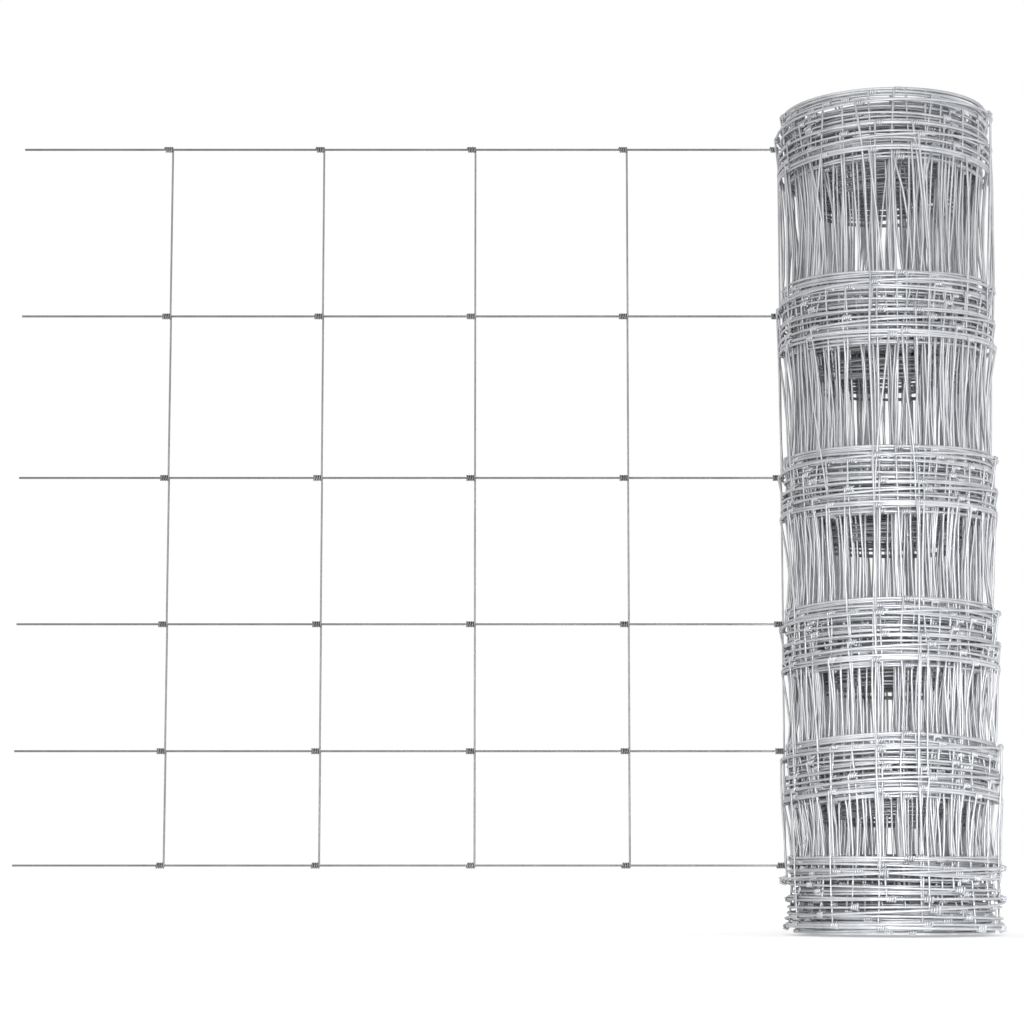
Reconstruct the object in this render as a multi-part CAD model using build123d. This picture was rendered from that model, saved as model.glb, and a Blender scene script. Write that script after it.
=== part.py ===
from build123d import *
import os
from math import cos, pi, sin

# Fence, as woven, in millimetres: its bays grow from the ground up
lowest_bay = 125
second_bay = 140
third_bay = 163
fourth_bay = 182
top_bay = 190
stay_pitch = 170
line_wire_d = 2.5
stay_wire_d = 2.2
wire_sides = 6

# Unrolled stretch, which leaves the back of the roll towards -X
stay_columns = 5
first_stay_reach = 103
cut_end_length = 166
lap_angle = 60

# Hinge joints: each stay is cut at every line wire, and its end is wound round that wire
wrap_sides_per_turn = 6
shared_wrap_sides = 9
edge_wrap_sides = 18
wrap_clearance = 0.2
strand_gap = 0.3

# Wound roll, standing on its end: the turns of each line wire bunch in a band
band_radius = 117
band_face_height = 78
band_fall = 5
waist_radius = 105
bore_radius = 75
line_rise = 31
seat_clearance = 0.2

# Ends of the roll
rim_bevel = 3
rim_land_width = 12
end_rings = 4
end_ring_depth = 3


def wire_section(diameter, at, along, across):
    """A section with few sides, as wide over its corners as the round wire."""
    plane = Plane(origin=at, x_dir=across, z_dir=along)
    return plane * RegularPolygon(diameter / 2, wire_sides)


def half_across_flats(diameter):
    return diameter / 2 * cos(pi / wire_sides)


# Heights of the bands of the roll, and of the line wires where they leave it
bay_heights = (lowest_bay, second_bay, third_bay, fourth_bay, top_bay)
band_heights = [rim_bevel + band_face_height / 2]
for bay in bay_heights:
    band_heights.append(band_heights[-1] + bay)
line_heights = [z + line_rise for z in band_heights]
roll_height = band_heights[-1] + band_face_height / 2 + rim_bevel

# The run's wires lie in one upright plane, against the back of the bands
run_y = band_radius + seat_clearance + half_across_flats(line_wire_d)
stay_places = [-first_stay_reach - stay_pitch * i for i in range(stay_columns)]
run_end = stay_places[-1] - cut_end_length

# A wrap's centre line keeps this far from the line wire's axis, on every side of the coil
wrap_offset = half_across_flats(line_wire_d) + wrap_clearance + half_across_flats(stay_wire_d)
strand_pitch = stay_wire_d + strand_gap
side_angle = 2 * pi / wrap_sides_per_turn


def wound_roll():
    """The wound fence as one turned solid: six bands of line wires, with waists of stays between."""
    outside = []
    for z in band_heights:
        outside += band_profile(z)
    # The outermost points of the first and last band give way to the rims of the ends
    profile = end_profile(0, 1) + outside[1:-1] + end_profile(roll_height, -1)[::-1]
    section = make_face(Plane.XZ * Polyline(*profile, close=True))
    return revolve(section, Axis.Z)


def band_profile(z):
    """The upright face of one band, and its falls to the waists below and above."""
    face = band_face_height / 2
    return [
        (waist_radius, z - face - band_fall),
        (band_radius, z - face),
        (band_radius, z + face),
        (waist_radius, z + face + band_fall),
    ]


def end_profile(z, inward):
    """Rings of turns from the bore outwards, then the flat rim that the roll stands on."""
    rim_radius = band_radius - rim_bevel
    land_radius = rim_radius - rim_land_width
    ring_width = (land_radius - bore_radius) / end_rings
    points = []
    for i in range(end_rings):
        crest = bore_radius + i * ring_width
        points.append((crest, z))
        points.append((crest + ring_width / 2, z + inward * end_ring_depth))
    points.append((land_radius, z))
    points.append((rim_radius, z))
    return points


def line_wire(z):
    """One line wire: its cut end, the straight run, and its lap on the back of the roll."""
    start = (run_end, run_y, z)
    straight = Line(start, (0, run_y, z))
    lap = CenterArc((0, 0, z), run_y, 90, -lap_angle)
    section = wire_section(line_wire_d, start, (1, 0, 0), (0, 0, 1))
    return sweep(section, path=Wire([straight, lap]))


def wrap(x, z, first_angle, sides, strands):
    """Corners of a stay's end round the line wire at (x, z), from the stay to the cut tip.

    The angle goes from the back over the top to the front. The wire steps clear of the stay
    on its first side, then gains one strand's pitch, for each strand in the joint, a turn.
    """
    corner_radius = wrap_offset / cos(side_angle / 2)
    step = strand_pitch * strands / wrap_sides_per_turn
    corners = []
    for k in range(sides + 1):
        angle = first_angle + side_angle * k
        back = step * (k + 1) if k else 0
        y = run_y + corner_radius * cos(angle)
        corners.append((x - back, y, z + corner_radius * sin(angle)))
    return corners


def stay(x, bay):
    """One stay wire: up from the front of the lower line wire to the back of the upper one."""
    at_foot = (edge_wrap_sides, 1) if bay == 0 else (shared_wrap_sides, 2)
    at_head = (edge_wrap_sides, 1) if bay == len(bay_heights) - 1 else (shared_wrap_sides, 2)
    foot = wrap(x, line_heights[bay], pi + side_angle / 2, *at_foot)
    head = wrap(x, line_heights[bay + 1], side_angle / 2, *at_head)
    path = Polyline(*foot[::-1], *head)
    section = wire_section(stay_wire_d, path @ 0, path % 0, (1, 0, 0))
    return sweep(section, path=path, transition=Transition.RIGHT)


os.makedirs("parts", exist_ok=True)
export_step(wound_roll(), "parts/wound_roll.step")
for row, z in enumerate(line_heights, start=1):
    export_step(line_wire(z), f"parts/line_wire_{row}.step")
for column, x in enumerate(stay_places, start=1):
    for bay in range(len(bay_heights)):
        export_step(stay(x, bay), f"parts/stay_{column}_bay_{bay + 1}.step")
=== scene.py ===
import math
import random

import bpy
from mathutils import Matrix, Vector


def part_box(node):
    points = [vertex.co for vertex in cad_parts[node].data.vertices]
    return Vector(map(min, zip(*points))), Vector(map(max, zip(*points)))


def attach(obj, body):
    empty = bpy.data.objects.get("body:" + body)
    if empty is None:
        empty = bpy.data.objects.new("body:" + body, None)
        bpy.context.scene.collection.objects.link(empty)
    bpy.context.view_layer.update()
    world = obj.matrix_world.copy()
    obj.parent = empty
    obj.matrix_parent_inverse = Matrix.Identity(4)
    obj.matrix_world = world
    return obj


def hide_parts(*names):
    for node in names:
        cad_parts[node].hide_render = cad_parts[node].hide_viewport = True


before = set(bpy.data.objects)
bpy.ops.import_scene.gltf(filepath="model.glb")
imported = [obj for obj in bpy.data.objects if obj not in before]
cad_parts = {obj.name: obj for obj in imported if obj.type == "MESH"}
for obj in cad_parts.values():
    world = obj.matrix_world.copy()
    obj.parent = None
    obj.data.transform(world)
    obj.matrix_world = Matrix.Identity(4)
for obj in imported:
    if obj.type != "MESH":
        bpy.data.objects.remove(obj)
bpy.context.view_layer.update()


# Line wires: six plain wires of galvanised steel run the whole length of the fence. Each starts
# at its cut end, runs flat to the back of the roll, and is then wound turn on turn to the bore.
# The solids' wires have six sides, with corners above and below and flats in front and behind.
line_names = [f"line_wire_{row}" for row in range(1, 7)]
line_low, line_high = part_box(line_names[0])
line_radius = (line_high.z - line_low.z) / 2
cut_end_x = line_low.x
solid_wire_sides = 6
run_y = line_high.y - line_radius * math.cos(math.pi / solid_wire_sides)
line_heights = [(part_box(name)[0].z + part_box(name)[1].z) / 2 for name in line_names]
bays = len(line_heights) - 1

wound_turns = 84
outermost_radius = run_y
innermost_radius = 0.0765
turn_gain = (outermost_radius - innermost_radius) / (wound_turns * 2 * math.pi)
wound_length = (outermost_radius**2 - innermost_radius**2) / (2 * turn_gain)
points_a_turn = 60
run_spans = 24
wound_line_swell = 1.12

# The turns of a band don't lie on each other: the fence creeps down and up the roll as it is
# wound, its last turns rise to the flat stretch, and those of the core have slipped down. The
# outer turns are a little slack, and that runs out towards the bore.
creep_half_height = 0.037
creep_sharpness = 0.95
run_rise = 0.031
turns_a_creep = 12
last_rise_turns = 2.4
outer_slack = 0.0035
slack_growth = 4
wander_growth = 3
core_turns = 24
slipped_turns = 1.6 * core_turns
core_drops = (0, 0.019, 0.019, 0.028, 0.034, 0.027)
creep_shares = (1.0, 0.82, 0.88, 0.86, 0.93, 1.0)
front_rises = (0.001, 0.009, 0.005, 0, -0.002, 0.006)
lowest_wire_height = 0.0037
press_height, highest_wire_height = 0.872, 0.8845
pressed_side = math.radians(235)
pressed_share = 0.35


def slow_wander(seed, size, periods):
    """A smooth irregular function of the turn, the same each run."""
    dice = random.Random(seed)
    each = size / len(periods) ** 0.5
    waves = [(2 * math.pi / period, dice.uniform(0, 2 * math.pi)) for period in periods]
    return lambda turn: sum(each * math.sin(turn * pace + phase) for pace, phase in waves)


creep_wander = slow_wander(3, 0.0022, (0.9, 1.6, 2.7, 4.3))
depth_wander = slow_wander(5, 0.0007, (0.8, 1.3, 3.1))
bunched_turns = slow_wander(9, 0.0026, (3.7,))


def smooth_step(u):
    """From 0 to 1 as u goes from 0 to 1, with a soft start and end."""
    u = min(1, max(0, u))
    return u * u * (3 - 2 * u)


def at_height(values, height):
    """The value at a height, blended between those of the line wires below and above it."""
    row = max(1, min(bays, sum(height > level for level in line_heights)))
    low, high = line_heights[row - 1], line_heights[row]
    part = (height - low) / (high - low)
    return values[row - 1] * (1 - part) + values[row] * part


def creep(turn, height):
    """Height of the fence over its place in the flat stretch, after so many turns inwards."""
    phase = (turn - last_rise_turns) / turns_a_creep
    zigzag = math.asin(math.sin(math.pi * (phase - 0.5)) * creep_sharpness)
    wave = zigzag / math.asin(creep_sharpness)
    pressed = pressed_share * max(0, math.cos(2 * math.pi * turn - pressed_side)) ** 2
    wave += pressed * max(0, wave) * (1 - wave)
    front = max(0, -math.cos(2 * math.pi * turn)) ** 2
    inner = creep_half_height * wave * at_height(creep_shares, height) - run_rise
    inner += creep_wander(turn) + bunched_turns(turn) + front * at_height(front_rises, height)
    slipping = smooth_step((turn - wound_turns + slipped_turns) / core_turns)
    slip = at_height(core_drops, height) * slipping
    return inner * smooth_step(turn / last_rise_turns) - slip


def winding_angle(along):
    """Angle wound so far at a length along the fence, from where it leaves the flat."""
    return (outermost_radius - math.sqrt(outermost_radius**2 - 2 * turn_gain * along)) / turn_gain


def wound(along, out, height):
    """A point of the flat fence, carried to its place in the roll or the flat stretch."""
    if along <= 0:
        return Vector((along, run_y + out, height))
    angle = winding_angle(along)
    turn = angle / (2 * math.pi)
    slack = outer_slack * (1 - math.exp(-slack_growth * turn)) * (1 - turn / wound_turns)
    wander = depth_wander(turn) * min(1, turn * wander_growth)
    radius = outermost_radius - turn_gain * angle - slack + wander + out
    level = max(height + creep(turn, height), lowest_wire_height)
    if level > press_height:
        room = highest_wire_height - press_height
        level = press_height + room * (1 - math.exp((press_height - level) / room))
    return Vector((radius * math.sin(angle), radius * math.cos(angle), level))


def wire_piece(name, routes, radius, rings, wound_from=0, wound_swell=1.0):
    """A mesh of round wires, one along each route, with closed ends, thicker from a point on."""
    curve = bpy.data.curves.new(name, "CURVE")
    curve.dimensions = "3D"
    curve.bevel_depth = radius
    curve.bevel_resolution = rings
    curve.use_fill_caps = True
    for route in routes:
        spline = curve.splines.new("POLY")
        spline.points.add(len(route) - 1)
        for step, (point, place) in enumerate(zip(spline.points, route)):
            point.co = (*place, 1)
            point.radius = wound_swell if step > wound_from else 1.0
    helper = bpy.data.objects.new(name + "_route", curve)
    mesh = bpy.data.meshes.new_from_object(helper)
    bpy.data.objects.remove(helper)
    mesh.name = name
    piece = bpy.data.objects.new(name, mesh)
    bpy.context.collection.objects.link(piece)
    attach(piece, "root")
    return piece


def galvanised(name, bright, dull, roughness, painted_run_shade, painted_core_shade):
    """Zinc on drawn wire: silvery with duller patches, with painted shade over the flat stretch
    and near the bore.
    """
    run_x, roll_x = -0.16, -0.06
    core_radius, lit_radius = 0.082, 0.104
    smoother, rougher = roughness - 0.08, roughness + 0.12
    material = bpy.data.materials.new(name)
    material.use_nodes = True
    nodes, links = material.node_tree.nodes, material.node_tree.links
    shader = nodes["Principled BSDF"]
    shader.inputs["Metallic"].default_value = 0.9
    place = nodes.new("ShaderNodeTexCoord")
    patches = nodes.new("ShaderNodeTexNoise")
    patches.inputs["Scale"].default_value = 38.0
    patches.inputs["Detail"].default_value = 5.0
    patches.inputs["Roughness"].default_value = 0.65
    links.new(place.outputs["Object"], patches.inputs["Vector"])
    tones = nodes.new("ShaderNodeValToRGB")
    tones.color_ramp.elements[0].position = 0.35
    tones.color_ramp.elements[0].color = (*dull, 1)
    tones.color_ramp.elements[1].position = 0.65
    tones.color_ramp.elements[1].color = (*bright, 1)
    links.new(patches.outputs["Fac"], tones.inputs["Fac"])
    apart = nodes.new("ShaderNodeSeparateXYZ")
    links.new(place.outputs["Object"], apart.inputs["Vector"])
    # Painted shade: the wires of the flat stretch are darker than those of the roll, standing in
    # for less light on the same wire.
    run_shade_ramp = nodes.new("ShaderNodeMapRange")
    run_shade_ramp.inputs["From Min"].default_value = run_x
    run_shade_ramp.inputs["From Max"].default_value = roll_x
    run_shade_ramp.inputs["To Min"].default_value = painted_run_shade
    run_shade_ramp.inputs["To Max"].default_value = 1.0
    links.new(apart.outputs["X"], run_shade_ramp.inputs["Value"])
    around = nodes.new("ShaderNodeVectorMath")
    around.operation = "MULTIPLY"
    around.inputs[1].default_value = (1, 1, 0)
    links.new(place.outputs["Object"], around.inputs[0])
    reach = nodes.new("ShaderNodeVectorMath")
    reach.operation = "LENGTH"
    links.new(around.outputs["Vector"], reach.inputs[0])
    # Painted shade: wires nearer the bore are darker, standing in for the shade inside the roll.
    core_shade_ramp = nodes.new("ShaderNodeMapRange")
    core_shade_ramp.inputs["From Min"].default_value = core_radius
    core_shade_ramp.inputs["From Max"].default_value = lit_radius
    core_shade_ramp.inputs["To Min"].default_value = painted_core_shade
    core_shade_ramp.inputs["To Max"].default_value = 1.0
    links.new(reach.outputs["Value"], core_shade_ramp.inputs["Value"])
    # The two painted shades together scale the zinc's own tones.
    painted_shades = nodes.new("ShaderNodeMath")
    painted_shades.operation = "MULTIPLY"
    links.new(run_shade_ramp.outputs["Result"], painted_shades.inputs[0])
    links.new(core_shade_ramp.outputs["Result"], painted_shades.inputs[1])
    skin = nodes.new("ShaderNodeVectorMath")
    skin.operation = "SCALE"
    links.new(tones.outputs["Color"], skin.inputs["Vector"])
    links.new(painted_shades.outputs["Value"], skin.inputs["Scale"])
    links.new(skin.outputs["Vector"], shader.inputs["Base Color"])
    spangle = nodes.new("ShaderNodeTexNoise")
    spangle.inputs["Scale"].default_value = 420.0
    spangle.inputs["Detail"].default_value = 3.0
    links.new(place.outputs["Object"], spangle.inputs["Vector"])
    gloss = nodes.new("ShaderNodeMapRange")
    gloss.inputs["To Min"].default_value = smoother
    gloss.inputs["To Max"].default_value = rougher
    links.new(spangle.outputs["Fac"], gloss.inputs["Value"])
    links.new(gloss.outputs["Result"], shader.inputs["Roughness"])
    bump = nodes.new("ShaderNodeBump")
    bump.inputs["Strength"].default_value = 0.35
    bump.inputs["Distance"].default_value = 0.0002
    links.new(spangle.outputs["Fac"], bump.inputs["Height"])
    links.new(bump.outputs["Normal"], shader.inputs["Normal"])
    return material


# Line wires: strong painted shade over the flat stretch, and painted shade near the bore.
line_finish = galvanised(
    "galvanised_line_wire",
    bright=(0.80, 0.81, 0.83),
    dull=(0.62, 0.632, 0.658),
    roughness=0.54,
    painted_run_shade=0.36,
    painted_core_shade=0.5,
)
drift_seed, drift_size, drift_periods = 20, 0.0007, (0.7, 1.1, 2.3)
for row, name in enumerate(line_names):
    drift = slow_wander(drift_seed + row, drift_size, drift_periods)
    height = line_heights[row]
    route = []
    for step in range(run_spans + 1):
        route.append(Vector((cut_end_x * (1 - step / run_spans), run_y, height)))
    for step in range(1, wound_turns * points_a_turn):
        angle = step * 2 * math.pi / points_a_turn
        along = outermost_radius * angle - turn_gain * angle**2 / 2
        turn = angle / (2 * math.pi)
        route.append(wound(along, 0, height + drift(turn) * min(1, turn * wander_growth)))
    wire = wire_piece(
        f"{name}_whole",
        [route],
        line_radius,
        rings=1,
        wound_from=run_spans + points_a_turn // 4,
        wound_swell=wound_line_swell,
    )
    wire.data.materials.append(line_finish)
    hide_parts(name, "wound_roll")


# Stay wires: upright wires of galvanised steel between the line wires, every 170 mm along the
# fence. Each is cut at every line wire, and its two ends are wound round the wires below and
# above it as a hinge joint. On the roll most bow inwards between the bands, and some are loose.
stay_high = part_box("stay_1_bay_1")[1]
stay_radius = 0.0011
first_stay = stay_high.x - stay_radius
run_stays = 5
stay_pitch = (stay_high.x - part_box("stay_5_bay_1")[1].x) / (run_stays - 1)
wound_stays = int((wound_length - first_stay) / stay_pitch)
outer_stays = 22
wire_gap, strand_gap = 0.0001, 0.0003
joint_radius = line_radius + stay_radius + wire_gap
strand_pitch = 2 * stay_radius + strand_gap
edge_joint = (3.5, 1)
shared_joint = (1.75, 2)
run_wrap_points, run_stay_spans = 12, 2
wound_wrap_points, wound_stay_spans = 5, 5
wound_stay_swell = 1.14

# Stays of all turns bunch together at some places round the roll. They do so over the whole
# height, as the columns of one turn settle by those of the next, and again in each bay.
bunch_counts = (11, 17, 23)
bunch_seeds = (133, 162, 61, 193, 207)
bunch_shifts = (0.0015, 0.0015, 0.0015, 0.003, 0.0075)
column_counts, column_seed, column_shift = (20, 31), 33, 0.0048

# Columns have slipped along the fence a little, and a few knots of the two highest line wires a
# lot, outside more than inside. Most stays bow inwards, and the loose ones hardly do. In the top
# bay the outer stays hang out on the side away from the flat stretch.
slips_seed = 11
column_slip, knot_slip = 0.001, 0.001
first_stray_row = 4
stray_share, stray_slips = 0.12, (0.008, 0.02)
outer_stray_share, outer_stray_slips = 0.3, (0.012, 0.026)
outer_loose_share, inner_loose_share = 0.4, 0.14
tight_bows, loose_bows, hanging_bows = (0.006, 0.0095), (-0.001, 0.0025), (-0.0035, 0.001)
hanging_side = 0.6
side_sway, side_wave, depth_wave = 0.0012, 0.0009, 0.0006
knot_slacks = (0, 0, 0, 0.25)
foot_slacks = (0, 0.3, 0.9, 1.4)


def joint_end(along, height, start_angle, turns, strands, points_a_wrap, slack):
    """A stay's end round its line wire, from where it meets the wire to its cut tip."""
    points = []
    count = round(turns * points_a_wrap)
    for step in range(count + 1):
        angle = 2 * math.pi * step / points_a_wrap
        back = strand_pitch * strands * angle / (2 * math.pi)
        open_radius = joint_radius * (1 + slack * (step / count) ** 2)
        points.append((
            along - back,
            open_radius * math.cos(start_angle + angle),
            height + open_radius * math.sin(start_angle + angle),
        ))
    return points


def bunching(counts, seed, shift):
    """How far a stay is shifted along the fence, by its angle, so that stays meet in bunches."""
    dice = random.Random(seed)
    waves = [(count, dice.uniform(0, 2 * math.pi)) for count in counts]
    each = shift / len(waves) ** 0.5
    return lambda angle: sum(each * math.sin(n * angle + phase) for n, phase in waves)


def stay_route(foot_along, head_along, bay, points_a_wrap, spans, bow, sway, slacks=(0, 0)):
    """A stay from its lower joint to its upper one, woven flat and then carried to its place."""
    at_foot = edge_joint if bay == 0 else shared_joint
    at_head = edge_joint if bay == bays - 1 else shared_joint
    low, high = line_heights[bay], line_heights[bay + 1]
    foot = joint_end(foot_along, low, math.pi, *at_foot, points_a_wrap, slacks[0])
    head = joint_end(head_along, high, 0, *at_head, points_a_wrap, slacks[1])
    body = []
    for step in range(1, spans):
        u = step / spans
        belly, bend = math.sin(math.pi * u), math.sin(2 * math.pi * u)
        body.append((
            foot_along + (head_along - foot_along) * u + sway[0] * belly + sway[1] * bend,
            joint_radius * (2 * u - 1) - bow * belly + sway[2] * bend,
            low + (high - low) * u,
        ))
    return [wound(*p) for p in foot[::-1] + body + head]


# Stay wires: painted shade over the flat stretch, and a little near the bore.
stay_finish = galvanised(
    "galvanised_stay_wire",
    bright=(0.81, 0.82, 0.84),
    dull=(0.66, 0.672, 0.697),
    roughness=0.54,
    painted_run_shade=0.48,
    painted_core_shade=0.94,
)
# Painted shade of the knots: the joints of the flat stretch's stays are given dark zinc, standing
# in for the shade within their wraps.
knot_painted_shade = galvanised(
    "painted_shade_of_the_knots",
    bright=(0.33, 0.333, 0.34),
    dull=(0.2, 0.202, 0.207),
    roughness=0.45,
    painted_run_shade=1.0,
    painted_core_shade=1.0,
)
knot_half_height = joint_radius + stay_radius
for bay in range(bays):
    for column in range(run_stays):
        along = first_stay - stay_pitch * column
        route = stay_route(along, along, bay, run_wrap_points, run_stay_spans, 0, (0, 0, 0))
        name = f"stay_{column + 1}_bay_{bay + 1}"
        wire = wire_piece(f"{name}_wire", [route], stay_radius, rings=2)
        wire.data.materials.append(stay_finish)
        wire.data.materials.append(knot_painted_shade)
        # Faces at the joints get the knots' painted shade.
        for face in wire.data.polygons:
            if min(abs(face.center.z - height) for height in line_heights) < knot_half_height:
                face.material_index = 1
        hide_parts(name)

dice = random.Random(slips_seed)
slips = []
stacking = bunching(column_counts, column_seed, column_shift)
for column in range(wound_stays):
    along = first_stay + stay_pitch * (column + 1)
    lean = dice.gauss(0, column_slip) + stacking(winding_angle(max(0, along)))
    row = [lean + dice.gauss(0, knot_slip) for _ in line_heights]
    if dice.random() < stray_share:
        knot = dice.randrange(first_stray_row, len(row))
        row[knot] += dice.choice((-1, 1)) * dice.uniform(*stray_slips)
    if column < outer_stays and dice.random() < outer_stray_share:
        knot = dice.randrange(first_stray_row, len(row))
        row[knot] += dice.choice((-1, 1)) * dice.uniform(*outer_stray_slips)
    slips.append(row)
for bay in range(bays):
    bunch = bunching(bunch_counts, bunch_seeds[bay], bunch_shifts[bay])
    routes = []
    for column in range(wound_stays):
        along = first_stay + stay_pitch * (column + 1)
        angle = winding_angle(along)
        outer = column < outer_stays
        loose = dice.random() < (outer_loose_share if outer else inner_loose_share)
        hanging = bay == bays - 1 and outer and math.sin(angle) > hanging_side
        bow = dice.uniform(*(hanging_bows if hanging else loose_bows if loose else tight_bows))
        sway = [dice.gauss(0, spread) for spread in (side_sway, side_wave, depth_wave)]
        slacks = [dice.choice(knot_slacks) for _ in range(2)]
        if bay == 0 and column < 2 * outer_stays:
            slacks[0] = dice.choice(foot_slacks)
        sway[0] += bunch(angle)
        foot, head = along + slips[column][bay], along + slips[column][bay + 1]
        routes.append(
            stay_route(foot, head, bay, wound_wrap_points, wound_stay_spans, bow, sway, slacks)
        )
    thick_radius = stay_radius * wound_stay_swell
    wires = wire_piece(f"wound_stays_bay_{bay + 1}", routes, thick_radius, rings=0)
    wires.data.materials.append(stay_finish)
    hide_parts("wound_roll")


# Floor and room: a plain pale floor that the roll stands on and that keeps its shadow, in an
# evenly lit white room. The floor gives more light of its own the farther it is from the roll.
def white_ground():
    """A matt floor whose own light is seen by the camera and, at half strength, by glossy wire."""
    material = bpy.data.materials.new("white_ground")
    material.use_nodes = True
    nodes, links = material.node_tree.nodes, material.node_tree.links
    shader = nodes["Principled BSDF"]
    shader.inputs["Base Color"].default_value = (0.82, 0.82, 0.82, 1)
    shader.inputs["Roughness"].default_value = 0.9
    shader.inputs["Specular IOR Level"].default_value = 0.1
    place = nodes.new("ShaderNodeTexCoord")
    away = nodes.new("ShaderNodeVectorMath")
    away.operation = "LENGTH"
    links.new(place.outputs["Object"], away.inputs[0])
    fade = nodes.new("ShaderNodeMapRange")
    fade.inputs["From Min"].default_value = 0.8
    fade.inputs["From Max"].default_value = 3.0
    fade.inputs["To Min"].default_value = 0.36
    fade.inputs["To Max"].default_value = 1.0
    links.new(away.outputs["Value"], fade.inputs["Value"])
    seen = nodes.new("ShaderNodeLightPath")
    direct = nodes.new("ShaderNodeMath")
    direct.operation = "MULTIPLY"
    links.new(seen.outputs["Is Camera Ray"], direct.inputs[0])
    links.new(fade.outputs["Result"], direct.inputs[1])
    glossy = nodes.new("ShaderNodeMath")
    glossy.operation = "MULTIPLY"
    links.new(seen.outputs["Is Glossy Ray"], glossy.inputs[0])
    glossy.inputs[1].default_value = 0.5
    lift = nodes.new("ShaderNodeMath")
    lift.operation = "MAXIMUM"
    links.new(direct.outputs["Value"], lift.inputs[0])
    links.new(glossy.outputs["Value"], lift.inputs[1])
    shader.inputs["Emission Color"].default_value = (1, 1, 1, 1)
    links.new(lift.outputs["Value"], shader.inputs["Emission Strength"])
    return material


bpy.ops.mesh.primitive_plane_add(size=30, location=(0, 0, 0))
floor = bpy.context.object
floor.name = "floor"
floor.data.materials.append(white_ground())

world = bpy.data.worlds.new("white_room")
bpy.context.scene.world = world
world.use_nodes = True
nodes, links = world.node_tree.nodes, world.node_tree.links
backdrop = nodes["Background"]
backdrop.inputs["Color"].default_value = (1, 1, 1, 1)
seen = nodes.new("ShaderNodeLightPath")
clear = nodes.new("ShaderNodeMath")
clear.operation = "MAXIMUM"
links.new(seen.outputs["Is Camera Ray"], clear.inputs[0])
links.new(seen.outputs["Is Transmission Ray"], clear.inputs[1])
level = nodes.new("ShaderNodeMapRange")
level.inputs["To Min"].default_value = 0.72
level.inputs["To Max"].default_value = 1.0
links.new(clear.outputs["Value"], level.inputs["Value"])
links.new(level.outputs["Result"], backdrop.inputs["Strength"])


def soft_lamp(name, place, aim, size, power, spread=180):
    """A large flat lamp at a place, turned to what it aims at."""
    lamp = bpy.data.lights.new(name, "AREA")
    lamp.shape = "RECTANGLE"
    lamp.size, lamp.size_y = size
    lamp.energy = power
    lamp.spread = math.radians(spread)
    holder = bpy.data.objects.new(name, lamp)
    holder.location = place
    holder.rotation_mode = "QUATERNION"
    holder.rotation_quaternion = (Vector(aim) - Vector(place)).to_track_quat("-Z", "Y")
    bpy.context.collection.objects.link(holder)


middle, roll_middle, roll_foot = (-0.2, 0, 0.4), (0, 0, 0.4), (0, 0, 0.05)
soft_lamp("front_lamp", (-0.8, -3.4, 1.3), middle, size=(0.8, 1.6), power=15.5)
soft_lamp("low_lamp", (-0.1, -1.9, 0.25), roll_foot, size=(0.5, 0.4), power=2.2, spread=60)
soft_lamp("side_lamp", (3.0, -1.2, 1.2), roll_middle, size=(1.4, 1.8), power=4)
soft_lamp("back_lamp", (-1.8, 3.0, 2.0), middle, size=(2.0, 1.4), power=14)

# Camera: square to the flat stretch, low and tipped up a little, as the photo looks at the roll
# from slightly below. Its focal length is worked out in pixels of the photo's own width.
sensor_width = 36
focal_pixels, picture_pixels = 2834, 1024
camera_tip = 5.94
camera_data = bpy.data.cameras.new("camera")
camera_data.sensor_width = sensor_width
camera_data.lens = focal_pixels * sensor_width / picture_pixels
camera_data.shift_y = 0.06
camera = bpy.data.objects.new("camera", camera_data)
camera.location = (-0.402, -3.0, 0.07)
camera.rotation_euler = (math.radians(90 + camera_tip), 0, 0)
camera_data.clip_end = 100
bpy.context.collection.objects.link(camera)
bpy.context.scene.camera = camera
bpy.context.scene.view_settings.view_transform = "Standard"
